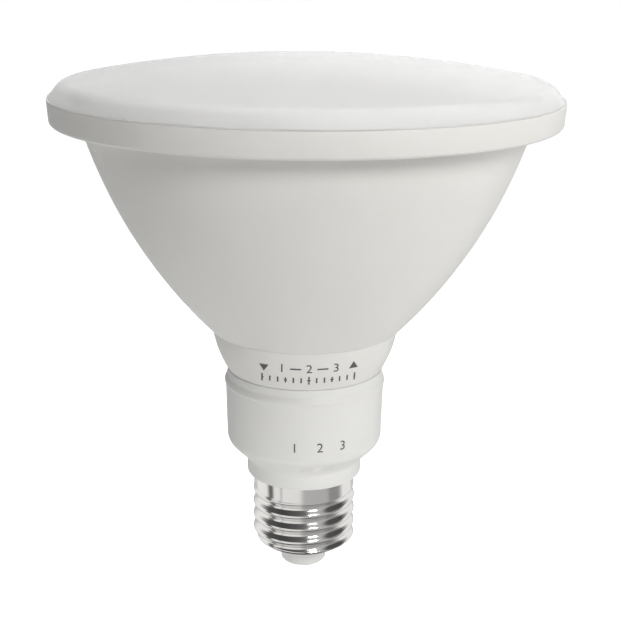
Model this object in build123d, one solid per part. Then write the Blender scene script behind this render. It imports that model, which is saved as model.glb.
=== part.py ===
from build123d import *
from math import acos, atan2, cos, degrees, radians, sin, sqrt
import os

# LED reflector lamp with a screw cap and a light-colour selector under a pull-off sleeve.
# Millimetres. The origin is the middle of the centre contact's face. +Z runs up the lamp's axis
# to the lens, and -Y is the side of the selector.

# Fits
seat_clearance = 0.15
slide_clearance = 0.3
lead_clearance = 0.05

# Centre contact and its insulator
contact_radius = 4.2
contact_thickness = 0.6
contact_edge = 0.3
contact_stem_radius = 1.1
contact_stem_length = 3.4
insulator_drop = 5.0
insulator_tip_radius = 5.7
insulator_tip_rounding = 0.7
insulator_top_radius = 10.2
insulator_top_thickness = 2.0

# Screw shell: a rolled sheet with a rounded right-hand thread
thread_crest_radius = 13.15
thread_depth = 1.01
thread_pitch = 3.629
thread_turns = 3.65
thread_sections = 6
thread_start_angle = 351.0
thread_runout = 0.8
shell_wall = 0.35
shell_hole_radius = 6.5
shell_turn_radius = 11.3
shell_turn_height = 1.2
shell_turn_length = 1.87
shell_turn_rounding = 1.5
barrel_radius = 12.94
barrel_length = 3.9

# Base collar: spigot for the shell, neck, cone with the selector's slot, and wide collar
spigot_wall = 1.7
spigot_length = 8.3
neck_radius = 13.2
neck_wall = 1.5
neck_length = 4.4
cone_height = 6.8
collar_radius = 18.65
collar_wall = 1.2
collar_floor = 0.6
collar_chamfer = 4.0
flange_overhang = 0.65
flange_height = 1.75

# Soft sleeve over collar, cone and neck, which pulls off downwards over the cap
sleeve_wall = 1.1
sleeve_side_wall = 0.7
sleeve_draft = 0.3
sleeve_drop = 0.35
sleeve_edge = 0.35
sleeve_corner = 1.1
lip_rise = 15.3
lip_overhang = 0.3
lip_height = 1.8
lip_taper = 1.2
lip_rounding = 0.9

# Selector: three places along a slot
selector_travel = 3.0
selector_rise = 7.0
knob_reach = 1.1
knob_width = 1.5
knob_height = 1.8
knob_seat = 0.3
knob_chamfer = 0.25
switch_width = 10.0
switch_height = 4.4
switch_depth = 3.4
switch_channel_depth = 2.1

# Driver housing: tube in the collar, shaped band in the open, tube in the heat sink
driver_wall = 1.4
band_bottom_radius = 19.35
band_top_radius = 23.15
band_height = 10.62
band_bulge = 0.6
upper_tube_gap = 0.65
upper_tube_length = 15.0
rail_width = 3.0
rail_wall = 1.2
rail_length = 12.0

# Reflector-shaped housing
housing_neck_radius = 23.5
housing_rim_radius = 53.3
housing_height = 51.2
housing_curve_radius = 119.8
housing_wall = 1.8
rim_flange_width = 2.5
rim_flange_thickness = 1.2

# Front ring
ring_overhang = 7.2
ring_draft = 0.35
ring_height = 5.5
ring_wall = 2.0
ring_floor = 1.5
ring_low_edge = 0.9
ring_top_edge = 0.3

# Domed lens
lens_step = 0.4
lens_rise = 9.45
lens_curve_radius = 295.0
lens_edge_fillet = 3.4
lens_wall = 2.0

# Heat sink, light board and light sources
heat_sink_wall = 1.5
heat_sink_plate = 2.0
heat_sink_drop = 10.4
heat_sink_foot = 0.9
board_margin = 4.5
board_thickness = 1.6
lead_window_width = 8.6
lead_window_depth = 3.0
source_length = 3.5
source_width = 2.8
source_height = 0.7
inner_ring_radius = 18.0
inner_ring_count = 8
outer_ring_radius = 33.0
outer_ring_count = 16
screw_circle_radius = 25.5
screw_count = 3
screw_radius = 1.5
screw_head_radius = 2.8
screw_head_height = 1.9
screw_head_rounding = 0.9
screw_length = 5.5
connector_width = 11.0
connector_depth = 6.0
connector_height = 3.6
connector_chamfer = 0.6

# Driver board and what it carries
driver_front = 7.0
driver_thickness = 1.6
driver_width = 28.0
driver_tongue_width = 16.0
driver_tongue_gap = 2.4
driver_length = 49.0
pad_height = 0.5
transformer_size = (14.0, 11.0, 13.0)
transformer_place = (0.0, 31.5)
transformer_core_length = 8.0
winding_width = 9.0
winding_inset = 1.1
winding_rounding = 2.6
can_groove = 0.5
input_can_radius = 4.0
input_can_length = 13.0
input_can_place = (6.5, 13.2)
output_can_radius = 5.0
output_can_length = 14.0
output_can_place = (9.0, 44.5)
film_block_size = (5.5, 9.0, 11.0)
film_block_place = (-6.5, 11.0)
film_block_rounding = 0.7
choke_radius = 4.0
choke_waist_radius = 3.2
choke_flange = 1.3
choke_length = 9.0
choke_place = (-6.0, 21.0)
rectifier_size = (5.0, 2.4, 6.0)
rectifier_place = (-6.0, 13.5)
rectifier_legs = 2
rectifier_leg_pitch = 3.0
chip_size = (4.0, 1.5, 5.0)
chip_place = (3.0, 30.0)
chip_legs = 4
chip_leg_pitch = 1.27
resistor_radius = 1.5
resistor_length = 7.0
resistor_standoff = 2.1
resistor_lead_radius = 0.35
resistor_lead_overhang = 1.4
resistor_place = (8.0, 22.8)

# Insulated leads
lead_radius = 0.6
lead_bend = 2.4
led_lead_spacing = 2.6
led_lead_overlap = 6.0
neutral_offset = 3.2
neutral_drop = 1.6

# Heights of the joins, from the contact's face upwards
insulator_bottom = contact_thickness
shell_end = insulator_bottom + insulator_drop
shell_turn_top = shell_end + shell_turn_length
thread_bottom = shell_turn_top + thread_runout
thread_top = thread_bottom + thread_turns * thread_pitch
barrel_bottom = thread_top + thread_runout
barrel_top = barrel_bottom + barrel_length
cone_bottom = barrel_top + neck_length
collar_bottom = cone_bottom + cone_height
floor_top = collar_bottom + collar_floor
lip_top = collar_bottom + lip_rise
flange_bottom = lip_top + seat_clearance
collar_top = flange_bottom + flange_height
band_top = collar_top + band_height
ring_bottom = band_top + housing_height
ring_top = ring_bottom + ring_height
lens_seat = ring_bottom + ring_floor
lens_top = ring_top + lens_rise
board_bottom = ring_bottom - heat_sink_drop + heat_sink_plate
board_top = board_bottom + board_thickness
selector_height = barrel_top + selector_rise

# Radii of the fits
thread_throw = thread_depth / 2
thread_circle = thread_crest_radius - thread_throw
thread_root_radius = thread_circle - thread_throw
thread_bore = thread_root_radius - shell_wall
barrel_bore = barrel_radius - shell_wall
spigot_radius = thread_bore - seat_clearance
spigot_bore = spigot_radius - spigot_wall
neck_bore = neck_radius - neck_wall
flange_radius = collar_radius + flange_overhang
collar_bore = collar_radius - collar_wall
lower_tube_radius = collar_bore - seat_clearance
lower_tube_bore = lower_tube_radius - driver_wall
ring_radius = housing_rim_radius + ring_overhang
ring_bore = ring_radius - ring_wall
lens_radius = ring_radius - lens_step
skirt_radius = ring_bore - seat_clearance
skirt_bore = skirt_radius - lens_wall

# Driver board's faces and foot
driver_back = driver_front - driver_thickness
driver_foot = barrel_top + driver_tongue_gap
driver_shoulder = floor_top + seat_clearance
driver_top = driver_foot + driver_length

# Centre of the housing's curve, in radius and height
chord_width = housing_rim_radius - housing_neck_radius
chord = sqrt(chord_width ** 2 + housing_height ** 2)
curve_reach = sqrt(housing_curve_radius ** 2 - chord ** 2 / 4)
curve_x = (housing_rim_radius + housing_neck_radius) / 2 - curve_reach * housing_height / chord
curve_z = (ring_bottom + band_top) / 2 + curve_reach * chord_width / chord


def section(points, corners=()):
    """Face inside straight edges, with each listed corner (point, radius) rounded."""
    face = make_face(Polyline(*points, close=True))
    for point, radius in corners:
        nearest = face.vertices().sort_by_distance(Vector(*point))[0]
        face = fillet(nearest, radius)
    return face


def spin(face):
    """Solid of revolution of a face drawn as radius across and height up."""
    return revolve(Plane.XZ * face, Axis.Z)


def block(low, high):
    """Box between two opposite corners."""
    size = Vector(*high) - Vector(*low)
    return Pos(Vector(*low) + size / 2) * Box(size.X, size.Y, size.Z)


def rod(radius, start, end):
    """Round rod between two points."""
    run = Vector(*end) - Vector(*start)
    return extrude(Plane(start, z_dir=run) * Circle(radius), run.length)


def wire(radius, points, bend):
    """Round wire along straight runs with tangent bends."""
    path = FilletPolyline(*points, radius=bend)
    return sweep(Plane(path @ 0, z_dir=path % 0) * Circle(radius), path)


def on_driver(place):
    """Location on the driver board's back face, with +Z of the piece pointing away from it."""
    return Pos(place[0], -driver_back, driver_foot + place[1]) * Rot(-90, 0, 0)


def on_driver_front(place):
    """Location on the driver board's front face, with +Z of the piece pointing away from it."""
    return Pos(place[0], -driver_front, driver_foot + place[1]) * Rot(90, 0, 0)


def housing_radius(height, inset):
    """Radius of the housing's curve at a height, inset into its wall."""
    return curve_x + sqrt((housing_curve_radius - inset) ** 2 - (height - curve_z) ** 2)


def upper_tube_radius():
    """Radius of the driver housing's tube inside the reflector housing's neck."""
    return housing_radius(band_top, housing_wall) - upper_tube_gap


def housing_level(radius, inset):
    """Height of the housing's curve at a radius, inset into its wall."""
    return curve_z - sqrt((housing_curve_radius - inset) ** 2 - (radius - curve_x) ** 2)


def housing_arc(low, high, inset):
    """Stretch of the housing's curve between two heights, inset into its wall."""
    heights = (low, (low + high) / 2, high)
    return ThreePointArc(*[(housing_radius(height, inset), height) for height in heights])


def centre_contact():
    stem_top = contact_thickness + contact_stem_length
    face = section(
        [
            (0, 0),
            (contact_radius, 0),
            (contact_radius, contact_thickness),
            (contact_stem_radius, contact_thickness),
            (contact_stem_radius, stem_top),
            (0, stem_top),
        ],
        [((contact_radius, 0), contact_edge)],
    )
    return spin(face)


def cap_insulator():
    bore = contact_stem_radius + lead_clearance
    throat = shell_hole_radius - seat_clearance
    top_disc_bottom = shell_end + shell_turn_height + shell_wall + seat_clearance
    face = section(
        [
            (bore, insulator_bottom),
            (insulator_tip_radius, insulator_bottom),
            (throat, shell_end),
            (throat, top_disc_bottom),
            (insulator_top_radius, top_disc_bottom),
            (insulator_top_radius, top_disc_bottom + insulator_top_thickness),
            (bore, top_disc_bottom + insulator_top_thickness),
        ],
        [((insulator_tip_radius, insulator_bottom), insulator_tip_rounding)],
    )
    return spin(face)


def thread_ring(turn, inset):
    """Off-centre circle of the rolled thread, whose middle goes round the axis as the thread rises."""
    angle = radians(thread_start_angle + 360 * turn)
    middle = (thread_throw * cos(angle), thread_throw * sin(angle), thread_bottom + turn * thread_pitch)
    return Pos(*middle) * Circle(thread_circle - inset)


def thread_body(inset):
    """Solid inside the thread's surface, lofted through its off-centre circles."""
    count = round(thread_turns * thread_sections)
    return loft([thread_ring(thread_turns * index / count, inset) for index in range(count + 1)])


def runout(turn, height, radius):
    """Ring between the thread's end after some turns and a centred circle at a height."""
    rim = Pos(0, 0, height) * Circle(radius)
    bore = Pos(0, 0, height) * Circle(radius - shell_wall)
    return loft([thread_ring(turn, 0), rim]) - loft([thread_ring(turn, shell_wall), bore])


def screw_shell():
    thread = thread_body(0) - thread_body(shell_wall)
    turn_level = shell_end + shell_turn_height
    inner_turn = (shell_turn_radius - shell_wall, turn_level + shell_wall)
    turned_in = spin(
        section(
            [
                (shell_hole_radius, shell_end),
                (shell_turn_radius, turn_level),
                (thread_root_radius, shell_turn_top),
                (thread_bore, shell_turn_top),
                inner_turn,
                (shell_hole_radius, shell_end + shell_wall),
            ],
            [
                ((shell_turn_radius, turn_level), shell_turn_rounding),
                (inner_turn, shell_turn_rounding - shell_wall),
            ],
        )
    )
    lower_runout = runout(0, shell_turn_top, thread_root_radius)
    upper_runout = runout(thread_turns, barrel_bottom, barrel_radius)
    barrel = extrude(
        Pos(0, 0, barrel_bottom) * (Circle(barrel_radius) - Circle(barrel_bore)), barrel_length
    )
    return Part() + thread + turned_in + lower_runout + upper_runout + barrel


def base_collar():
    seat_radius = barrel_bore - seat_clearance
    spigot_bottom = barrel_bottom - spigot_length
    body = spin(
        section(
            [
                (flange_radius, collar_top),
                (collar_bore, collar_top),
                (collar_bore, floor_top),
                (neck_bore + collar_chamfer, floor_top),
                (neck_bore, floor_top - collar_chamfer),
                (neck_bore, barrel_top),
                (spigot_bore, barrel_bottom),
                (spigot_bore, spigot_bottom),
                (spigot_radius, spigot_bottom),
                (spigot_radius, barrel_bottom),
                (seat_radius, barrel_bottom),
                (seat_radius, barrel_top),
                (neck_radius, barrel_top),
                (neck_radius, cone_bottom),
                (collar_radius, collar_bottom),
                (collar_radius, flange_bottom),
                (flange_radius, flange_bottom),
            ]
        )
    )
    half_slot = selector_travel + knob_width / 2 + slide_clearance + seat_clearance
    half_height = knob_height / 2 + slide_clearance
    slot = block(
        (-half_slot, -collar_radius, selector_height - half_height),
        (half_slot, 0, selector_height + half_height),
    )
    return body - slot


def sleeve():
    bottom = barrel_top + seat_clearance
    lip_bottom = lip_top - lip_height
    neck_hole = neck_radius + slide_clearance
    collar_hole = collar_radius + slide_clearance
    foot_radius = neck_hole + sleeve_wall
    corner = (collar_hole + sleeve_side_wall, collar_bottom - sleeve_drop)
    side_radius = corner[0] + sleeve_draft
    lip_radius = side_radius + lip_overhang
    face = section(
        [
            (neck_hole, bottom),
            (foot_radius, bottom),
            (foot_radius, cone_bottom - sleeve_drop),
            corner,
            (side_radius, lip_bottom - lip_taper),
            (lip_radius, lip_bottom),
            (lip_radius, lip_top),
            (collar_hole, lip_top),
            (collar_hole, collar_bottom),
            (neck_hole, cone_bottom),
        ],
        [
            ((foot_radius, bottom), sleeve_edge),
            (corner, sleeve_corner),
            ((lip_radius, lip_top), lip_rounding),
        ],
    )
    return spin(face)


def selector_switch():
    half_width = switch_width / 2
    half_height = switch_height / 2
    front = driver_front + switch_depth
    body = block(
        (-half_width, -front, selector_height - half_height),
        (half_width, -driver_front, selector_height + half_height),
    )
    half_channel = selector_travel + knob_width / 2 + slide_clearance
    channel_height = knob_height / 2 + slide_clearance
    channel = block(
        (-half_channel, -front, selector_height - channel_height),
        (half_channel, switch_channel_depth - front, selector_height + channel_height),
    )
    return body - channel


def selector_knob():
    back = driver_front + switch_depth - switch_channel_depth + knob_seat
    front = neck_radius + knob_reach
    stem = block(
        (-knob_width / 2, -front, selector_height - knob_height / 2),
        (knob_width / 2, -back, selector_height + knob_height / 2),
    )
    rim = stem.faces().sort_by(Axis.Y)[0].edges()
    return chamfer(rim, knob_chamfer)


def driver_housing():
    tube_bottom = floor_top + slide_clearance
    tube_top = band_top + upper_tube_length
    tube_radius = upper_tube_radius()
    tube_bore = tube_radius - driver_wall
    outline = [
        SagittaArc((band_bottom_radius, collar_top), (band_top_radius, band_top), -band_bulge),
        Polyline(
            (band_top_radius, band_top),
            (tube_radius, band_top),
            (tube_radius, tube_top),
            (tube_bore, tube_top),
            (tube_bore, band_top),
            (lower_tube_bore, collar_top),
            (lower_tube_bore, tube_bottom),
            (lower_tube_radius, tube_bottom),
            (lower_tube_radius, collar_top),
            (band_bottom_radius, collar_top),
        ),
    ]
    body = spin(make_face(Curve() + outline))
    core = Pos(0, 0, tube_bottom) * Cylinder(
        lower_tube_radius - driver_wall / 2, rail_length, align=(Align.CENTER, Align.CENTER, Align.MIN)
    )
    slot_half = driver_thickness / 2 + seat_clearance
    slot_middle = driver_front - driver_thickness / 2
    board_edge = driver_width / 2 + seat_clearance
    rails = Part()
    for side in (-1, 1):
        inner = side * (board_edge - rail_width)
        outer = side * lower_tube_radius
        rail = block(
            (min(inner, outer), -slot_middle - slot_half - rail_wall, tube_bottom),
            (max(inner, outer), -slot_middle + slot_half + rail_wall, tube_bottom + rail_length),
        )
        groove = block(
            (-board_edge, -slot_middle - slot_half, tube_bottom),
            (board_edge, -slot_middle + slot_half, tube_bottom + rail_length),
        )
        rails += (rail & core) - groove
    return body + rails


def reflector_housing():
    rim_flange_bottom = ring_bottom + ring_floor
    rim_flange_top = rim_flange_bottom + rim_flange_thickness
    rim_flange_radius = housing_rim_radius + rim_flange_width
    bore = housing_radius(ring_bottom, housing_wall)
    outline = [
        housing_arc(band_top, ring_bottom, 0),
        Polyline(
            (housing_rim_radius, ring_bottom),
            (housing_rim_radius, rim_flange_bottom),
            (rim_flange_radius, rim_flange_bottom),
            (rim_flange_radius, rim_flange_top),
            (bore, rim_flange_top),
            (bore, ring_bottom),
        ),
        housing_arc(band_top, ring_bottom, housing_wall),
        Line((housing_radius(band_top, housing_wall), band_top), (housing_neck_radius, band_top)),
    ]
    return spin(make_face(Curve() + outline))


def front_ring():
    bore = housing_rim_radius + seat_clearance
    low_radius = ring_radius - ring_draft
    return spin(
        section(
            [
                (bore, ring_bottom),
                (low_radius, ring_bottom),
                (ring_radius, ring_top),
                (ring_bore, ring_top),
                (ring_bore, lens_seat),
                (bore, lens_seat),
            ],
            [((low_radius, ring_bottom), ring_low_edge), ((ring_radius, ring_top), ring_top_edge)],
        )
    )


def lens():
    crown = lens_top - lens_curve_radius
    edge_x = lens_radius - lens_edge_fillet
    edge_z = crown + sqrt((lens_curve_radius - lens_edge_fillet) ** 2 - edge_x ** 2)
    slope = degrees(atan2(edge_z - crown, edge_x))
    inner_curve = lens_curve_radius - lens_wall
    inner_slope = degrees(acos(skirt_bore / inner_curve))
    inner_level = crown + inner_curve * sin(radians(inner_slope))
    outline = [
        CenterArc((edge_x, edge_z), lens_edge_fillet, 0, slope),
        CenterArc((0, crown), lens_curve_radius, slope, 90 - slope),
        Line((0, lens_top), (0, lens_top - lens_wall)),
        CenterArc((0, crown), inner_curve, inner_slope, 90 - inner_slope),
        Polyline(
            (skirt_bore, inner_level),
            (skirt_bore, lens_seat),
            (skirt_radius, lens_seat),
            (skirt_radius, ring_top),
            (lens_radius, ring_top),
            (lens_radius, edge_z),
        ),
    ]
    return spin(make_face(Curve() + outline))


def lead_window(low, high):
    """Window for the light board's leads, between two heights."""
    return block(
        (-lead_window_width / 2, -driver_back, low),
        (lead_window_width / 2, lead_window_depth - driver_back, high),
    )


def screw_places():
    return PolarLocations(screw_circle_radius, screw_count, start_angle=90)


def screw_holes(low, high):
    """Clearance holes for the board's screws, between two heights."""
    hole = Cylinder(
        screw_radius + seat_clearance, high - low, align=(Align.CENTER, Align.CENTER, Align.MIN)
    )
    return [Pos(0, 0, low) * place * hole for place in screw_places()]


def heat_sink():
    outer_inset = housing_wall + seat_clearance
    inner_inset = outer_inset + heat_sink_wall
    foot = band_top + heat_sink_foot
    bore = upper_tube_radius() + seat_clearance
    plate_bottom = board_bottom - heat_sink_plate
    bore_top = housing_level(bore, inner_inset)
    outline = [
        housing_arc(foot, board_bottom, outer_inset),
        Polyline(
            (housing_radius(board_bottom, outer_inset), board_bottom),
            (0, board_bottom),
            (0, plate_bottom),
            (housing_radius(plate_bottom, inner_inset), plate_bottom),
        ),
        housing_arc(bore_top, plate_bottom, inner_inset),
        Polyline(
            (bore, bore_top),
            (bore, foot),
            (housing_radius(foot, outer_inset), foot),
        ),
    ]
    body = spin(make_face(Curve() + outline))
    return body - lead_window(plate_bottom, board_bottom) - screw_holes(plate_bottom, board_bottom)


def led_board():
    board_radius = housing_radius(board_bottom, housing_wall + seat_clearance) - board_margin
    disc = Pos(0, 0, board_bottom) * Cylinder(
        board_radius, board_thickness, align=(Align.CENTER, Align.CENTER, Align.MIN)
    )
    return disc - lead_window(board_bottom, board_top) - screw_holes(board_bottom, board_top)


def light_sources(first):
    """Every second light source of both rings, from the first or the second."""
    chip = Box(
        source_length, source_width, source_height, align=(Align.CENTER, Align.CENTER, Align.MIN)
    )
    rings = ((inner_ring_radius, inner_ring_count), (outer_ring_radius, outer_ring_count))
    places = []
    for radius, count in rings:
        half_step = 180 / count
        places += list(PolarLocations(radius, count, start_angle=half_step))[first::2]
    return Compound(children=[Pos(0, 0, board_top) * place * chip for place in places])


def board_screws():
    face = section(
        [
            (0, 0),
            (screw_head_radius, 0),
            (screw_head_radius, screw_head_height),
            (0, screw_head_height),
        ],
        [((screw_head_radius, screw_head_height), screw_head_rounding)],
    )
    shank = Cylinder(screw_radius, screw_length, align=(Align.CENTER, Align.CENTER, Align.MAX))
    screw = spin(face) + shank
    return Compound(children=[Pos(0, 0, board_top) * place * screw for place in screw_places()])


def board_connector():
    middle = lead_window_depth / 2 - driver_back
    body = block(
        (-connector_width / 2, middle - connector_depth / 2, board_top),
        (connector_width / 2, middle + connector_depth / 2, board_top + connector_height),
    )
    top_edges = body.faces().sort_by(Axis.Z)[-1].edges()
    return chamfer(top_edges, connector_chamfer)


def driver_board():
    wide = block(
        (-driver_width / 2, -driver_front, driver_shoulder),
        (driver_width / 2, -driver_back, driver_top),
    )
    tongue = block(
        (-driver_tongue_width / 2, -driver_front, driver_foot),
        (driver_tongue_width / 2, -driver_back, driver_shoulder),
    )
    return wide + tongue


def transformer():
    width, height, length = transformer_size
    base = (Align.CENTER, Align.CENTER, Align.MIN)
    core = Box(width, transformer_core_length, height, align=base)
    winding = Pos(0, 0, winding_inset) * Box(
        winding_width, length, height - 2 * winding_inset, align=base
    )
    coil = fillet(winding.edges().filter_by(Axis.X), winding_rounding)
    return on_driver(transformer_place) * (core + coil)


def electrolytic_can(radius, length):
    """Upright can with the rolled groove over its rubber bung."""
    face = section(
        [
            (0, 0),
            (radius, 0),
            (radius, can_groove),
            (radius - can_groove, 2 * can_groove),
            (radius, 3 * can_groove),
            (radius, length),
            (0, length),
        ],
        [((radius, length), can_groove)],
    )
    return spin(face)


def input_capacitor():
    return on_driver(input_can_place) * electrolytic_can(input_can_radius, input_can_length)


def output_capacitor():
    return on_driver(output_can_place) * electrolytic_can(output_can_radius, output_can_length)


def film_capacitor():
    width, height, length = film_block_size
    body = Box(width, length, height, align=(Align.CENTER, Align.CENTER, Align.MIN))
    return on_driver(film_block_place) * fillet(body.edges().filter_by(Axis.Z), film_block_rounding)


def choke():
    face = section(
        [
            (0, 0),
            (choke_radius, 0),
            (choke_radius, choke_flange),
            (choke_waist_radius, choke_flange),
            (choke_waist_radius, choke_length - choke_flange),
            (choke_radius, choke_length - choke_flange),
            (choke_radius, choke_length),
            (0, choke_length),
        ]
    )
    return on_driver(choke_place) * spin(face)


def fuse_resistor():
    reach = resistor_length / 2 + resistor_lead_overhang
    lead = wire(
        resistor_lead_radius,
        [(0, -reach, 0), (0, -reach, resistor_standoff), (0, reach, resistor_standoff), (0, reach, 0)],
        resistor_lead_overhang / 2,
    )
    half = resistor_length / 2
    body = rod(resistor_radius, (0, -half, resistor_standoff), (0, half, resistor_standoff))
    return on_driver(resistor_place) * (body + lead)


def legged_chip(size, legs, pitch):
    """Flat chip package, with legs along both long sides, standing on its legs' ends."""
    width, height, length = size
    base = (Align.CENTER, Align.CENTER, Align.MIN)
    chip = Pos(0, 0, pad_height / 2) * Box(width, length, height - pad_height / 2, align=base)
    leg = Box(width + 2 * pad_height, pitch / 2, pad_height, align=base)
    for index in range(legs):
        chip += Pos(0, (index - (legs - 1) / 2) * pitch, 0) * leg
    return chip


def bridge_rectifier():
    chip = legged_chip(rectifier_size, rectifier_legs, rectifier_leg_pitch)
    return on_driver_front(rectifier_place) * chip


def driver_chip():
    chip = legged_chip(chip_size, chip_legs, chip_leg_pitch)
    return on_driver_front(chip_place) * chip


def lead_line():
    """Depth of a lead that lies along the driver board's back face."""
    return lead_radius + lead_clearance - driver_back


def live_lead():
    start = contact_thickness + contact_stem_length
    level = barrel_bottom
    bend_top = level - lead_line()
    path = [(0, 0, start), (0, 0, level), (0, lead_line(), bend_top), (0, lead_line(), selector_height)]
    return wire(lead_radius, path, lead_bend)


def neutral_lead():
    drop = barrel_bottom - spigot_length - neutral_drop
    reach = sqrt((thread_bore - lead_clearance) ** 2 - (neutral_offset + lead_radius) ** 2)
    path = [
        (neutral_offset, -reach, drop),
        (neutral_offset, lead_line(), drop),
        (neutral_offset, lead_line(), selector_height),
    ]
    return wire(lead_radius, path, lead_bend)


def led_leads():
    start = driver_top - led_lead_overlap
    leads = []
    for side in (-1, 0, 1):
        across = side * led_lead_spacing
        leads.append(rod(lead_radius, (across, lead_line(), start), (across, lead_line(), board_top)))
    return Compound(children=leads)


nodes = {
    "lens": lens(),
    "front_ring": front_ring(),
    "reflector_housing": reflector_housing(),
    "heat_sink": heat_sink(),
    "led_board": led_board(),
    "warm_leds": light_sources(0),
    "cool_leds": light_sources(1),
    "board_screws": board_screws(),
    "board_connector": board_connector(),
    "led_leads": led_leads(),
    "driver_housing": driver_housing(),
    "driver_board": driver_board(),
    "transformer": transformer(),
    "input_capacitor": input_capacitor(),
    "output_capacitor": output_capacitor(),
    "film_capacitor": film_capacitor(),
    "choke": choke(),
    "fuse_resistor": fuse_resistor(),
    "bridge_rectifier": bridge_rectifier(),
    "driver_chip": driver_chip(),
    "selector_switch": selector_switch(),
    "selector_knob": selector_knob(),
    "base_collar": base_collar(),
    "sleeve": sleeve(),
    "live_lead": live_lead(),
    "neutral_lead": neutral_lead(),
    "screw_shell": screw_shell(),
    "cap_insulator": cap_insulator(),
    "centre_contact": centre_contact(),
}

os.makedirs("parts", exist_ok=True)
for name, shape in nodes.items():
    export_step(shape, f"parts/{name}.step")
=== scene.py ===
from math import cos, pi, radians, sin, sqrt
import bpy
from mathutils import Euler, Matrix, Vector


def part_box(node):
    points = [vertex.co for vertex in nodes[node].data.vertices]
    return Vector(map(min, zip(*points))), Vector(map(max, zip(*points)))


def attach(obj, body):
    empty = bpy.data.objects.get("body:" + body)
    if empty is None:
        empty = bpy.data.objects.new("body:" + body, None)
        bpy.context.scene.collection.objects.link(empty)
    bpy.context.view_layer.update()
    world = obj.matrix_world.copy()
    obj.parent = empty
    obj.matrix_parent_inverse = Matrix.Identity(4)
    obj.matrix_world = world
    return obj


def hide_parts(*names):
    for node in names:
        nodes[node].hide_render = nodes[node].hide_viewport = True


# LED reflector lamp, upright on its screw cap. Metres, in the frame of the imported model: +Z runs up
# the lamp's axis from the contact, and -Y is the side of the selector.
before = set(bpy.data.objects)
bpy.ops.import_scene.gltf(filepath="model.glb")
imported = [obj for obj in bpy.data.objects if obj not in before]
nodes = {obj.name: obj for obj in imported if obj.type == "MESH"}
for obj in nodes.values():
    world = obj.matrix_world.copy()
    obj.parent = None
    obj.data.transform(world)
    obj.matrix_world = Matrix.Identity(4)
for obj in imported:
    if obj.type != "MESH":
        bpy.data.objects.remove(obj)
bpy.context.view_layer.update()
mm = 0.001

# Camera: its place is measured from the lamp's axis and contact, before it turns about that axis
camera_lens = 69.3
camera_near = 10 * mm
camera_place = Vector((1.2, -285.3, 155.0)) * mm
camera_pitch = radians(16.8)
camera_roll = radians(0.52)
camera_turn = radians(-11.0)

# Floor: its glow to the camera grows from a near to a far distance
floor_radius = 4.0
floor_sides = 64
floor_drop = 30 * mm
floor_white = (0.85, 0.85, 0.85, 1)
floor_roughness = 0.9
floor_glow = 1.0
floor_near_glow = 0.8
floor_far_glow = 1.0
floor_near = 0.15
floor_far = 0.7

# Lights: turns are measured from the camera's side, and only the key light is mirrored in gloss
key_power = 0.83
side_power = 0.52
top_power = 2.0
front_fill_power = 0.011
right_fill_power = 0.002
left_fill_power = 0.012
back_power = 0.5
lamp_middle = Vector((0, 0, 85)) * mm
lamp_foot = Vector((0, 0, 35)) * mm
lamp_lens = Vector((0, -20, 110)) * mm
key_place = Vector((0, -400, 300)) * mm
side_place = Vector((0, -420, 230)) * mm
top_place = Vector((0, -60, 620)) * mm
fill_place = Vector((0, -90, -14)) * mm
key_size = (110 * mm, 110 * mm)
side_size = (220 * mm, 220 * mm)
top_size = (500 * mm, 500 * mm)
fill_size = (110 * mm, 22 * mm)

# Name, turn, place, aim, size, power and whether gloss mirrors the light
studio = (
    ("key", radians(20), key_place, lamp_middle, key_size, key_power, True),
    ("side", radians(78), side_place, lamp_middle, side_size, side_power, False),
    ("top", radians(8), top_place, lamp_lens, top_size, top_power, False),
    ("front_fill", radians(8), fill_place, lamp_foot, fill_size, front_fill_power, False),
    ("right_fill", radians(60), fill_place, lamp_foot, fill_size, right_fill_power, False),
    ("left_fill", radians(-60), fill_place, lamp_foot, fill_size, left_fill_power, False),
    ("back", radians(180), side_place, lamp_middle, side_size, back_power, False),
)

# Even light of the surroundings on surfaces, and their brightness in bright metal and gloss by
# degrees of turn: low walls, and the room above them
ambient = 0.08
surround_walls = (
    (-180, 1.0),
    (-96, 1.0),
    (-86, 0.16),
    (-78, 0.16),
    (-72, 0.95),
    (-57, 0.95),
    (-53, 0.5),
    (-49, 0.95),
    (-10, 0.92),
    (2, 0.54),
    (54, 0.52),
    (63, 0.33),
    (84, 0.33),
    (92, 0.55),
    (99, 1.0),
    (180, 1.0),
)
surround_room = (
    (-180, 0.6),
    (-118, 0.6),
    (-98, 0.1),
    (-60, 0.07),
    (-20, 0.12),
    (4, 0.16),
    (12, 0.55),
    (46, 0.5),
    (60, 0.1),
    (100, 0.08),
    (118, 0.6),
    (180, 0.6),
)
wall_top = (radians(14), radians(24))
wall_foot = (radians(-66), radians(-48))
under_lamp = 0.05

# Shades on the walls behind the lamp: a low one for its contour, and one towards the left for the
# far edge of the lens
contour_turns = (radians(128), radians(152))
contour_levels = (radians(-7), radians(1))
contour_shade = 0.38
dim_side_spread = (-0.05, 0.2)
dim_side_levels = (radians(-8), radians(-3))
dim_side_shade = 0.25

# Mesh work: edges flatter than these angles are shaded smooth, heights this close count as the
# same, and points within the seam's gap are joined
smooth_angle = radians(40)
lens_smooth_angle = radians(30)
same_height = 1e-6
seam_gap = 0.0005 * mm

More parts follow.
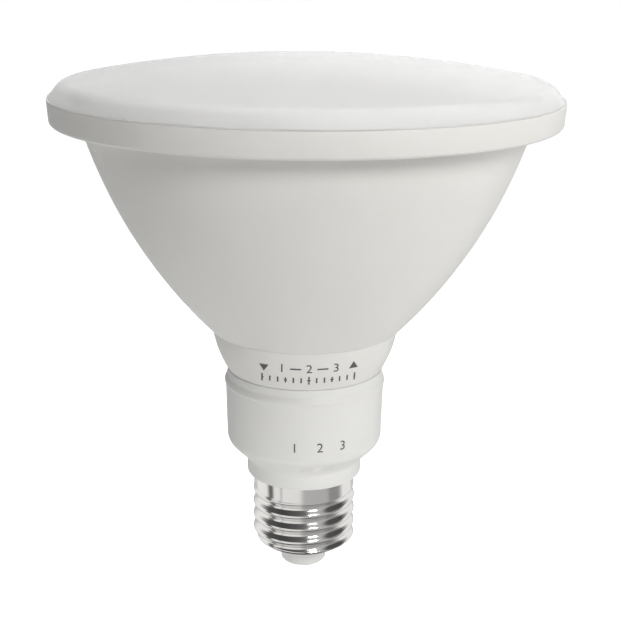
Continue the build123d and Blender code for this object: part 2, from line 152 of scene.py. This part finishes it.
# Rolled screw shell
shell_sides = 144
shell_wall = 0.35 * mm
shell_end = 5.6 * mm
shell_hole_radius = 6.5 * mm
turn_radius = 11.3 * mm
turn_level = 6.8 * mm
turn_bevel = 0.35 * mm
turn_bevel_steps = 6
turn_top = 7.47 * mm
thread_bottom = 8.27 * mm
thread_pitch = 3.629 * mm
thread_turns = 3.65
thread_start = radians(351)
thread_throw = 0.505 * mm
thread_circle = 12.645 * mm
thread_steps = 24
runout_length = 0.8 * mm
runout_steps = 6
barrel_radius = 12.94 * mm

# Domed lens with a sloping edge, and the skirt that stands in the front ring
lens_sides = 192
lens_top = 131.386 * mm
lens_curve = 295.0 * mm
lens_wall = 2.0 * mm
lens_ring_step = 4.8 * mm
lens_edge_radius = 57.5 * mm
lens_edge_bevel = 1.5 * mm
lens_edge_steps = 8
lens_foot_radius = 60.1 * mm
lens_foot_bottom = 121.94 * mm
lens_foot_top = 122.3 * mm
skirt_radius = 58.35 * mm
skirt_bore = 56.35 * mm
skirt_foot = 117.94 * mm
pole_radius = 0.02 * mm

# Front ring: radius and height of its outline in mm, with a lip round the lens's foot, and the
# height, size and steps of its rounded edges
ring_sides = 192
ring_outline = (
    (53.45, 116.436),
    (53.45, 117.936),
    (58.5, 117.937),
    (58.5, 121.93),
    (60.11, 121.931),
    (60.11, 122.27),
    (60.5, 122.271),
    (60.15, 116.437),
)
ring_bevels = (
    (122.271, 0.36, 5),
    (116.437, 0.9, 5),
)

# Soft sleeve: radius and height of its outline in mm, from the hole's foot up inside and down
# outside, and the height, size and steps of its rounded edges
sleeve_sides = 128
sleeve_inside = (
    (13.5, 26.366),
    (13.5, 30.616),
    (18.95, 37.416),
    (18.95, 52.716),
    (19.42, 52.95),
    (19.42, 54.58),
)
sleeve_outside = (
    (19.5, 54.6),
    (19.6, 52.75),
    (20.02, 52.0),
    (20.23, 51.3),
    (20.23, 50.95),
    (19.97, 50.6),
    (19.62, 35.5),
    (14.6, 30.5),
    (14.6, 26.367),
)
sleeve_bevels = (
    (35.5, 1.3, 6),
    (30.5, 0.8, 5),
    (26.367, 0.3, 4),
    (52.0, 0.35, 3),
    (50.6, 0.12, 3),
    (52.75, 0.25, 3),
)

# Print on the neck, on the sleeve and on the collar under it
print_lift = 0.03 * mm
print_thickness = 0.02 * mm
print_cuts = 3
label_size = 3.4 * mm
label_level = 39.8 * mm
label_turns = (radians(-17.5), radians(0.5), radians(17.5))
neck_turn = radians(-8)
neck_figure_size = 3.2 * mm
neck_figure_level = 61.0 * mm
neck_figure_places = (-6.4 * mm, 0.0, 6.4 * mm)
neck_dash_places = (-3.2 * mm, 3.2 * mm)
neck_dash_size = (2.6 * mm, 0.36 * mm)
neck_arrow_places = (-10.6 * mm, 10.6 * mm)
neck_arrow_turns = (pi, 0)
neck_arrow_radius = 1.25 * mm
neck_scale_level = 57.8 * mm
neck_scale_size = (22.0 * mm, 0.34 * mm)
neck_tick_count = 13
neck_tick_size = (0.36 * mm, 1.5 * mm)
neck_long_tick = 2.3 * mm

# Painted shade of the slot and painted light of the knob in the milky sleeve's colour, where they
# would show through it
slot_level = 33.2 * mm
slot_half_size = (4.2 * mm, 1.2 * mm)
knob_half_size = (1.0 * mm, 1.1 * mm)
slot_blur = 0.45 * mm
slot_shade = 0.055
knob_shine = 0.9

# Moulded finishes: clouds of tone, and a fine grain in the gloss and in the surface
cloud_size = 22 * mm
cloud_detail = 3.0
cloud_tones = (0.975, 1.02)
grain_size = 0.3 * mm
grain_depth = 0.004 * mm
grain_detail = 2.0
grain_gloss = 0.1
grain_middle = 0.5

# Milky finish of the sleeve, with the tone of the painted light on the knob's spot
milky_cloud_size = 14 * mm
milky_tones = (0.98, 1.015)
knob_painted_light_tone = 1.04
milky_grain_size = 0.5 * mm
milky_grain_depth = 0.003 * mm

# Bright plate: patches of tone and gloss, and a grain drawn round the axis
patch_size = 4 * mm
patch_detail = 3.0
patch_tones = (0.96, 1.02)
patch_gloss = 0.06
drawn_size = 6 * mm
drawn_detail = 4.0
drawn_depth = 0.0004 * mm
drawn_stretch = (1.0, 1.0, 12.0)

# Opal lens: its gloss, and the distance that light spreads inside it, alike in all colours
opal_roughness = 0.14
opal_specular = 0.6
opal_grain_size = 1.5 * mm
opal_grain_depth = 0.002 * mm
opal_spread = 2.0 * mm
opal_spread_colours = (1.0, 1.0, 1.0)

# Colours, and the colour and roughness of each plain moulding and each plate
white = (0.80, 0.79, 0.755)
opal = (0.705, 0.702, 0.69)
silicone = (0.82, 0.815, 0.79)
silicone_roughness = 0.5
ink_grey = (0.10, 0.10, 0.10)
black = (0, 0, 0, 1)
mouldings = {
    "white_plastic": (white, 0.42),
    "knob_plastic": (white, 0.4),
    "black_plastic": ((0.03, 0.03, 0.03), 0.5),
    "switch_grey": ((0.42, 0.42, 0.41), 0.5),
    "insulator_white": ((0.8, 0.79, 0.77), 0.3),
    "white_board": ((0.82, 0.82, 0.80), 0.35),
    "green_board": ((0.04, 0.19, 0.07), 0.3),
    "warm_phosphor": ((0.85, 0.52, 0.12), 0.3),
    "cool_phosphor": ((0.86, 0.76, 0.3), 0.3),
    "lead_white": ((0.78, 0.78, 0.76), 0.45),
    "lead_red": ((0.5, 0.05, 0.04), 0.45),
    "ferrite": ((0.06, 0.06, 0.06), 0.6),
    "capacitor_sleeve": ((0.03, 0.04, 0.08), 0.3),
    "film_case": ((0.55, 0.42, 0.05), 0.35),
    "resistor_body": ((0.22, 0.42, 0.34), 0.4),
    "label_ink": (ink_grey, 0.6),
    "neck_ink": (ink_grey, 0.6),
}
plates = {
    "nickel_plate": ((0.76, 0.75, 0.73), 0.1),
    "solder_tin": ((0.6, 0.6, 0.59), 0.3),
    "aluminium": ((0.75, 0.75, 0.76), 0.3),
    "screw_steel": ((0.6, 0.6, 0.6), 0.25),
}

# Finish of each piece that is carried over
node_finishes = {
    "lens": "opal_lens",
    "front_ring": "white_plastic",
    "reflector_housing": "white_plastic",
    "driver_housing": "white_plastic",
    "base_collar": "white_plastic",
    "sleeve": "milky_silicone",
    "selector_knob": "knob_plastic",
    "selector_switch": "switch_grey",
    "screw_shell": "nickel_plate",
    "cap_insulator": "insulator_white",
    "centre_contact": "solder_tin",
    "heat_sink": "aluminium",
    "led_board": "white_board",
    "warm_leds": "warm_phosphor",
    "cool_leds": "cool_phosphor",
    "board_screws": "screw_steel",
    "board_connector": "white_plastic",
    "led_leads": "lead_white",
    "live_lead": "lead_red",
    "neutral_lead": "lead_white",
    "driver_board": "green_board",
    "transformer": "ferrite",
    "choke": "ferrite",
    "input_capacitor": "capacitor_sleeve",
    "output_capacitor": "capacitor_sleeve",
    "film_capacitor": "film_case",
    "fuse_resistor": "resistor_body",
    "bridge_rectifier": "black_plastic",
    "driver_chip": "black_plastic",
}


class Shade:
    """A shader socket. Arithmetic on it adds Math nodes, and node() adds any other node."""

    def __init__(self, tree, socket=None):
        self.tree = tree
        self.socket = socket

    def feed(self, socket, value):
        if isinstance(value, Shade):
            self.tree.links.new(value.socket, socket)
        else:
            socket.default_value = value

    def node(self, kind, settings=None, inputs=None, output=0):
        made = self.tree.nodes.new(kind)
        for name, value in (settings or {}).items():
            if name == "stops":
                set_stops(made.color_ramp, value)
            else:
                setattr(made, name, value)
        for name, value in (inputs or {}).items():
            self.feed(made.inputs[name], value)
        return Shade(self.tree, made.outputs[output])

    def math(self, operation, *values):
        return self.node("ShaderNodeMath", {"operation": operation}, dict(enumerate(values)))

    def __add__(self, other):
        return self.math("ADD", self, other)

    def __radd__(self, other):
        return self.math("ADD", other, self)

    def __sub__(self, other):
        return self.math("SUBTRACT", self, other)

    def __rsub__(self, other):
        return self.math("SUBTRACT", other, self)

    def __mul__(self, other):
        return self.math("MULTIPLY", self, other)

    def __rmul__(self, other):
        return self.math("MULTIPLY", other, self)

    def __neg__(self):
        return self.math("MULTIPLY", self, -1)

    def __truediv__(self, other):
        return self.math("DIVIDE", self, other)

    def __rtruediv__(self, other):
        return self.math("DIVIDE", other, self)


def set_stops(ramp, stops):
    """Gives a ramp its stops of (position, grey), the first at 0 and the last at 1."""
    first, *between, last = stops
    for element, (_, grey) in ((ramp.elements[0], first), (ramp.elements[-1], last)):
        element.color = (grey, grey, grey, 1)
    for position, grey in between:
        ramp.elements.new(position).color = (grey, grey, grey, 1)


def noise(place, size, detail):
    inputs = {"Vector": place, "Scale": 1 / size, "Detail": detail}
    return place.node("ShaderNodeTexNoise", None, inputs)


def blend(factor, first, second):
    """Colour between two colours."""
    inputs = {0: factor, 6: first, 7: second}
    return factor.node("ShaderNodeMix", {"data_type": "RGBA"}, inputs, 2)


def bump(height, depth):
    return height.node("ShaderNodeBump", None, {"Height": height, "Distance": depth})


def rise(value, low, high):
    """0 below a low value and 1 above a high one, with a smooth step between."""
    inputs = {"Value": value, "From Min": low, "From Max": high}
    return value.node("ShaderNodeMapRange", {"interpolation_type": "SMOOTHSTEP"}, inputs)


def axes(place):
    """The three coordinates of a place."""
    parts = place.node("ShaderNodeSeparateXYZ", None, {0: place})
    return [Shade(place.tree, socket) for socket in parts.socket.node.outputs]


def toned(colour, factor):
    """Colour made lighter or darker, with full opacity."""
    return (*[part * factor for part in colour], 1.0)


def finish(name, looks, **fixed):
    """Material of one surface shader: fixed inputs, and inputs that vary over the surface."""
    made = bpy.data.materials.new(name)
    made.use_nodes = True
    surface = made.node_tree.nodes["Principled BSDF"]
    place = Shade(made.node_tree).node("ShaderNodeTexCoord", output="Object")
    for socket, value in fixed.items():
        place.feed(surface.inputs[socket.replace("_", " ")], value)
    for socket, value in looks(place).items():
        place.feed(surface.inputs[socket], value)
    return made


def clouded(place, size, detail, colour, tones):
    """Colour in soft patches between two of its tones."""
    darker, lighter = tones
    return blend(noise(place, size, detail), toned(colour, darker), toned(colour, lighter))


def moulded(name, colour, roughness, grain=grain_size, depth=grain_depth, **fixed):
    """Moulded plastic: faint clouds of tone, and a fine satin grain."""

    def looks(place):
        fine = noise(place, grain, grain_detail)
        return {
            "Base Color": clouded(place, cloud_size, cloud_detail, colour, cloud_tones),
            "Roughness": roughness + grain_gloss * (fine - grain_middle),
            "Normal": bump(fine, depth),
        }

    return finish(name, looks, **fixed)


def window(across, height, half_width, half_height):
    """1 inside a soft-edged window over the selector's slot, 0 outside: the mask of the painted shade
    and painted light there.
    """
    aside = across.math("ABSOLUTE", across)
    off = height.math("ABSOLUTE", height - slot_level)
    inside = 1 - rise(aside, half_width - slot_blur, half_width + slot_blur)
    return inside * (1 - rise(off, half_height - slot_blur, half_height + slot_blur))


def milky(name, colour, roughness):
    """Soft milky moulding, with the slot's shade painted in as a faint darker patch and the knob's
    light painted in as a lighter spot.
    """

    def looks(place):
        fine = noise(place, milky_grain_size, grain_detail)
        across, away, height = axes(place)
        # Painted shade over the slot and painted light over the knob, on the front only
        front = 1 - rise(away, -slot_blur, slot_blur)
        shadow = front * window(across, height, *slot_half_size)
        knob = front * window(across, height, *knob_half_size)
        plain = clouded(place, milky_cloud_size, cloud_detail, colour, milky_tones)
        shaded = blend(slot_shade * shadow, plain, black)
        return {
            "Base Color": blend(knob_shine * knob, shaded, toned(colour, knob_painted_light_tone)),
            "Roughness": roughness + grain_gloss * (fine - grain_middle),
            "Normal": bump(fine, milky_grain_depth),
        }

    return finish(name, looks)


def plated(name, colour, roughness):
    """Bright plate: tone and gloss in soft patches, and a faint drawn grain round the axis."""

    def looks(place):
        inputs = {"Vector": place, "Scale": drawn_stretch}
        stretched = place.node("ShaderNodeMapping", None, inputs)
        drawn = noise(stretched, drawn_size, drawn_detail)
        patches = noise(place, patch_size, patch_detail)
        darker, lighter = patch_tones
        return {
            "Base Color": blend(patches, toned(colour, darker), toned(colour, lighter)),
            "Roughness": roughness + patch_gloss * patches,
            "Normal": bump(drawn, drawn_depth),
        }

    return finish(name, looks, Metallic=1.0)


def opalescent(name):
    """Opal plastic in which light spreads under a glossy skin."""
    made = moulded(
        name,
        opal,
        opal_roughness,
        grain=opal_grain_size,
        depth=opal_grain_depth,
        Specular_IOR_Level=opal_specular,
        Subsurface_Weight=1.0,
        Subsurface_Radius=opal_spread_colours,
        Subsurface_Scale=opal_spread,
    )
    made.node_tree.nodes["Principled BSDF"].subsurface_method = "BURLEY"
    return made


def clear_selection():
    if bpy.context.object and bpy.context.object.mode != "OBJECT":
        bpy.ops.object.mode_set(mode="OBJECT")
    bpy.ops.object.select_all(action="DESELECT")


def dress(piece, material):
    piece.data.materials.clear()
    piece.data.materials.append(material)
    return piece


def apply_modifier(piece, kind, **settings):
    bpy.context.view_layer.objects.active = piece
    bpy.ops.object.modifier_add(type=kind)
    modifier = piece.modifiers[-1]
    for name, value in settings.items():
        setattr(modifier, name, value)
    bpy.ops.object.modifier_apply(modifier=modifier.name)


def stack_rings(name, stations, sides):
    """Skin made by raising a ring of edges from station to station: (centre, radius) each."""
    clear_selection()
    centre, radius = stations[0]
    bpy.ops.mesh.primitive_circle_add(vertices=sides, radius=radius, location=centre)
    piece = bpy.context.object
    piece.name = name
    bpy.ops.object.transform_apply()
    bpy.ops.object.mode_set(mode="EDIT")
    bpy.ops.mesh.select_all(action="SELECT")
    for next_centre, next_radius in stations[1:]:
        bpy.ops.mesh.extrude_edges_move(TRANSFORM_OT_translate={"value": next_centre - centre})
        growth = next_radius / radius
        bpy.ops.transform.resize(value=(growth, growth, 1.0), center_override=next_centre)
        centre, radius = next_centre, next_radius
    bpy.ops.object.mode_set(mode="OBJECT")
    return piece


def select_ring(piece, level):
    """Selects the edges that lie at one height, in edit mode."""
    bpy.ops.object.mode_set(mode="EDIT")
    bpy.ops.mesh.select_all(action="DESELECT")
    bpy.ops.object.mode_set(mode="OBJECT")
    heights = [vertex.co.z for vertex in piece.data.vertices]
    for edge in piece.data.edges:
        edge.select = all(abs(heights[end] - level) < same_height for end in edge.vertices)
    bpy.ops.object.mode_set(mode="EDIT")


def face_outward():
    """Turns every face outward and leaves edit mode."""
    bpy.ops.mesh.select_all(action="SELECT")
    bpy.ops.mesh.normals_make_consistent(inside=False)
    bpy.ops.object.mode_set(mode="OBJECT")


def ease(share):
    """Smooth step of a share between 0 and 1."""
    return share * share * (3 - 2 * share)


def thread_station(turn, height, throw, radius):
    """Ring of the thread: a circle whose middle is thrown off the axis towards a turn."""
    angle = thread_start + 2 * pi * turn
    return Vector((throw * cos(angle), throw * sin(angle), height)), radius


def screw_shell():
    """Rolled sheet: turned-in end, rounded thread with its run-outs, and plain barrel."""
    root = thread_circle - thread_throw
    stations = [
        (Vector((0, 0, shell_end)), shell_hole_radius),
        (Vector((0, 0, turn_level)), turn_radius),
        (Vector((0, 0, turn_top)), root),
    ]
    for step in range(1, runout_steps):
        share = step / runout_steps
        height = turn_top + share * (thread_bottom - turn_top)
        turn = (height - thread_bottom) / thread_pitch
        throw = thread_throw * ease(share)
        stations.append(thread_station(turn, height, throw, root + thread_throw * ease(share)))
    steps = round(thread_turns * thread_steps)
    for step in range(steps + 1):
        turn = thread_turns * step / steps
        height = thread_bottom + turn * thread_pitch
        stations.append(thread_station(turn, height, thread_throw, thread_circle))
    thread_top = thread_bottom + thread_turns * thread_pitch
    for step in range(1, runout_steps + 1):
        share = step / runout_steps
        height = thread_top + share * runout_length
        turn = (height - thread_bottom) / thread_pitch
        throw = thread_throw * (1 - ease(share))
        radius = thread_circle + ease(share) * (barrel_radius - thread_circle)
        stations.append(thread_station(turn, height, throw, radius))
    barrel_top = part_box("screw_shell")[1].z
    stations.append((Vector((0, 0, barrel_top)), barrel_radius))
    piece = stack_rings("rolled_screw_shell", stations, shell_sides)
    select_ring(piece, turn_level)
    bpy.ops.mesh.bevel(offset=turn_bevel, segments=turn_bevel_steps)
    face_outward()
    apply_modifier(piece, "SOLIDIFY", thickness=shell_wall, offset=-1.0)
    bpy.ops.object.shade_smooth_by_angle(angle=smooth_angle)
    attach(piece, "lamp")
    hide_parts("screw_shell")
    return piece


def dome_rings(top, curve, radius):
    """Rings of a dome from a radius inwards to its pole."""
    count = round(radius / lens_ring_step)
    rings = []
    for step in range(count + 1):
        reach = radius + step / count * (pole_radius - radius)
        level = top - curve + sqrt(curve * curve - reach * reach)
        rings.append((Vector((0, 0, level)), reach))
    return rings


def close_pole(piece, level):
    """Draws the small ring at a height together into one point."""
    select_ring(piece, level)
    bpy.ops.mesh.merge(type="COLLAPSE")


def domed_lens():
    """Opal lens: shallow dome, sloping edge down to the ring, and skirt inside the ring."""
    outside = dome_rings(lens_top, lens_curve, lens_edge_radius)
    inside = dome_rings(lens_top - lens_wall, lens_curve - lens_wall, skirt_bore)
    edge = (
        (skirt_bore, skirt_foot),
        (skirt_radius, skirt_foot),
        (skirt_radius, lens_foot_bottom),
        (lens_foot_radius, lens_foot_bottom),
        (lens_foot_radius, lens_foot_top),
    )
    edge_rings = [(Vector((0, 0, level)), radius) for radius, level in edge]
    piece = stack_rings("domed_lens", inside[::-1] + edge_rings + outside, lens_sides)
    close_pole(piece, inside[-1][0].z)
    close_pole(piece, outside[-1][0].z)
    select_ring(piece, outside[0][0].z)
    bpy.ops.mesh.bevel(offset=lens_edge_bevel, segments=lens_edge_steps)
    face_outward()
    bpy.ops.object.shade_smooth_by_angle(angle=lens_smooth_angle)
    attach(piece, "lamp")
    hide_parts("lens")
    return piece


def closed_ring(name, outline, sides, bevels):
    """Ring with a closed outline of (radius, height), rounded at the heights given."""
    closed = outline + outline[:1]
    stations = [(Vector((0, 0, height * mm)), radius * mm) for radius, height in closed]
    piece = stack_rings(name, stations, sides)
    for level, offset, segments in bevels:
        select_ring(piece, level * mm)
        bpy.ops.mesh.bevel(offset=offset * mm, segments=segments)
    bpy.ops.mesh.select_all(action="SELECT")
    bpy.ops.mesh.remove_doubles(threshold=seam_gap)
    face_outward()
    bpy.ops.object.shade_smooth_by_angle(angle=smooth_angle)
    return piece


def lipped_ring():
    """Front ring that holds the lens, with a rounded lip round the lens's foot."""
    piece = closed_ring("lipped_ring", ring_outline, ring_sides, ring_bevels)
    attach(piece, "lamp")
    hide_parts("front_ring")
    return piece


def soft_sleeve():
    """Soft moulded sleeve, with a bead round its lip and rounded corners."""
    outline = sleeve_inside + sleeve_outside
    piece = closed_ring("soft_sleeve", outline, sleeve_sides, sleeve_bevels)
    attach(piece, "pull_sleeve")
    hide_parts("sleeve")
    return piece


def print_on(piece, carrier, body, level, turn):
    """Lays a flat mark on a round piece at a height, a turn away from the selector's side."""
    reach = max(corner[0] for corner in carrier.bound_box)
    piece.rotation_euler = (pi / 2, 0, 0)
    piece.location = (0, -2 * reach, level)
    bpy.ops.object.transform_apply()
    bpy.ops.object.mode_set(mode="EDIT")
    bpy.ops.mesh.select_all(action="SELECT")
    bpy.ops.mesh.quads_convert_to_tris()
    bpy.ops.mesh.subdivide(number_cuts=print_cuts)
    bpy.ops.object.mode_set(mode="OBJECT")
    apply_modifier(
        piece,
        "SHRINKWRAP",
        wrap_method="PROJECT",
        use_project_y=True,
        use_positive_direction=True,
        use_negative_direction=False,
        offset=print_lift,
        target=carrier,
    )
    apply_modifier(piece, "SOLIDIFY", thickness=print_thickness, offset=1.0)
    piece.rotation_euler = (0, 0, turn)
    bpy.ops.object.transform_apply()
    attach(piece, body)
    return piece


def figure(name, text, size):
    """Flat figure in the plain built-in type, middle at the origin, as a mesh."""
    clear_selection()
    bpy.ops.object.text_add()
    piece = bpy.context.object
    piece.name = name
    piece.data.body = text
    piece.data.size = size
    piece.data.align_x = "CENTER"
    piece.data.align_y = "CENTER"
    bpy.ops.object.convert(target="MESH")
    return bpy.context.object


def stroke(size, place):
    """Flat bar of a size at a place."""
    bpy.ops.mesh.primitive_plane_add(size=1.0, location=place)
    bpy.ops.transform.resize(value=(*size, 1.0), center_override=place)
    return bpy.context.object


def arrow(radius, place, turn):
    """Flat triangle that points up, or turned the other way."""
    bpy.ops.mesh.primitive_circle_add(
        vertices=3, radius=radius, fill_type="NGON", location=place, rotation=(0, 0, turn)
    )
    return bpy.context.object


def join_marks(name, marks):
    """One flat mesh of several marks."""
    clear_selection()
    for mark in marks:
        mark.select_set(True)
    bpy.context.view_layer.objects.active = marks[0]
    bpy.ops.object.transform_apply()
    bpy.ops.object.join()
    marks[0].name = name
    return marks[0]


def neck_figures():
    """Row of the selector's three places between two arrows."""
    marks = []
    for number, across in enumerate(neck_figure_places, 1):
        mark = figure("figure", str(number), neck_figure_size)
        mark.location = (across, 0, 0)
        marks.append(mark)
    marks += [stroke(neck_dash_size, (across, 0, 0)) for across in neck_dash_places]
    for across, turn in zip(neck_arrow_places, neck_arrow_turns):
        marks.append(arrow(neck_arrow_radius, (across, 0, 0), turn))
    return join_marks("neck_figures", marks)


def neck_scale():
    """Plain sliding scale: a line with short ticks, and longer ones at its ends and middle."""
    marks = [stroke(neck_scale_size, (0, 0, 0))]
    width, height = neck_tick_size
    half = (neck_tick_count - 1) // 2
    for step in range(-half, half + 1):
        tall = neck_long_tick if step % half == 0 else height
        across = step * neck_scale_size[0] / (neck_tick_count - 1)
        marks.append(stroke((width, tall), (across, 0, 0)))
    return join_marks("neck_scale", marks)


def turned(place, turn):
    """Place turned about the lamp's axis."""
    return Matrix.Rotation(turn, 3, "Z") @ place


def camera():
    data = bpy.data.cameras.new("camera")
    data.lens = camera_lens
    data.clip_start = camera_near
    view = bpy.data.objects.new("camera", data)
    bpy.context.scene.collection.objects.link(view)
    view.location = turned(camera_place, camera_turn)
    level = Euler((pi / 2 - camera_pitch, 0, camera_turn)).to_matrix()
    view.rotation_euler = (level @ Matrix.Rotation(camera_roll, 3, "Z")).to_euler()
    bpy.context.scene.camera = view


def studio_light(name, turn, place, aim, size, power, mirrored):
    """Soft rectangular light, turned about the lamp's axis from the camera's side."""
    data = bpy.data.lights.new(name, "AREA")
    data.shape = "RECTANGLE"
    data.size, data.size_y = size
    data.energy = power
    light = bpy.data.objects.new(name, data)
    bpy.context.scene.collection.objects.link(light)
    light.location = turned(place, camera_turn + turn)
    light.rotation_euler = (aim - light.location).to_track_quat("-Z", "Y").to_euler()
    light.visible_camera = False
    light.visible_glossy = mirrored


def stops_of(table):
    """Ramp stops of a table of (degrees, grey) right round, with 0 degrees in the middle."""
    return [(0.5 + degrees / 360, grey) for degrees, grey in table]


def surroundings():
    """White to the camera, an even light on surfaces, and bright and dark walls in the gloss."""
    world = bpy.data.worlds.new("studio")
    world.use_nodes = True
    bpy.context.scene.world = world
    tree = world.node_tree
    sky = tree.nodes["Background"]
    straight = Shade(tree).node("ShaderNodeTexCoord", output="Generated")
    turned_back = straight.node(
        "ShaderNodeVectorRotate",
        {"rotation_type": "Z_AXIS"},
        {"Vector": straight, "Angle": -camera_turn},
    )
    across, away, up = axes(turned_back)
    turn = up.math("ARCTAN2", across, -away)
    height = up.math("ARCSINE", up)
    share = {"Fac": 0.5 + turn / (2 * pi)}
    walls = turn.node("ShaderNodeValToRGB", {"stops": stops_of(surround_walls)}, share)
    room = turn.node("ShaderNodeValToRGB", {"stops": stops_of(surround_room)}, share)
    above = rise(height, *wall_top)
    standing = rise(height, *wall_foot)
    behind = rise(turn.math("ABSOLUTE", turn), *contour_turns)
    contour = 1 - contour_shade * behind * (1 - rise(height, *contour_levels))
    leftward = rise(-across, *dim_side_spread)
    dim_side = 1 - dim_side_shade * behind * leftward * rise(height, *dim_side_levels)
    low = standing * walls * contour * dim_side + (1 - standing) * under_lamp
    reflected = above * room + (1 - above) * low
    camera_ray = Shade(tree).node("ShaderNodeLightPath", output="Is Camera Ray")
    rays = camera_ray.socket.node.outputs
    glossy = Shade(tree, rays["Is Glossy Ray"])
    through = Shade(tree, rays["Is Transmission Ray"])
    mirror = glossy.math("MAXIMUM", glossy, through)
    on_lamp = mirror * reflected + (1 - mirror) * ambient
    camera_ray.feed(sky.inputs["Color"], camera_ray + (1 - camera_ray) * on_lamp)


def floor():
    """Pale floor that is white to the camera and out of the gloss."""
    clear_selection()
    bpy.ops.mesh.primitive_circle_add(
        vertices=floor_sides,
        radius=floor_radius,
        fill_type="NGON",
        location=(0, 0, -floor_drop),
    )
    ground = bpy.context.object
    ground.name = "floor"
    bpy.ops.object.transform_apply()
    ground.visible_glossy = False
    made = bpy.data.materials.new("floor")
    made.use_nodes = True
    tree = made.node_tree
    surface = tree.nodes["Principled BSDF"]
    surface.inputs["Base Color"].default_value = floor_white
    surface.inputs["Roughness"].default_value = floor_roughness
    surface.inputs["Emission Strength"].default_value = floor_glow
    camera_ray = Shade(tree).node("ShaderNodeLightPath", output="Is Camera Ray")
    place = camera_ray.node("ShaderNodeTexCoord", output="Object")
    across, away, _ = axes(place)
    reach = place.math("SQRT", across * across + away * away)
    spread = {
        "Value": reach,
        "From Min": floor_near,
        "From Max": floor_far,
        "To Min": floor_near_glow,
        "To Max": floor_far_glow,
    }
    glow = place.node("ShaderNodeMapRange", None, spread)
    camera_ray.feed(surface.inputs["Emission Color"], camera_ray * glow)
    dress(ground, made)


finishes = {name: moulded(name, *look) for name, look in mouldings.items()}
finishes |= {name: plated(name, *look) for name, look in plates.items()}
finishes["opal_lens"] = opalescent("opal_lens")
finishes["milky_silicone"] = milky("milky_silicone", silicone, silicone_roughness)
for name, node in nodes.items():
    dress(node, finishes[node_finishes[name]])

dress(screw_shell(), finishes["nickel_plate"])
dress(lipped_ring(), finishes["white_plastic"])
dress(domed_lens(), finishes["opal_lens"])
sleeve = dress(soft_sleeve(), finishes["milky_silicone"])
collar = nodes["base_collar"]
neck = nodes["driver_housing"]
label_carriers = (("sleeve", sleeve, "pull_sleeve"), ("collar", collar, "lamp"))
for number, turn in enumerate(label_turns, 1):
    for name, carrier, body in label_carriers:
        label = figure(f"{name}_place_{number}", str(number), label_size)
        dress(print_on(label, carrier, body, label_level, turn), finishes["label_ink"])
for make_row, level in ((neck_figures, neck_figure_level), (neck_scale, neck_scale_level)):
    dress(print_on(make_row(), neck, "lamp", level, neck_turn), finishes["neck_ink"])

camera()
for light in studio:
    studio_light(*light)
surroundings()
floor()
bpy.context.scene.view_settings.view_transform = "Standard"
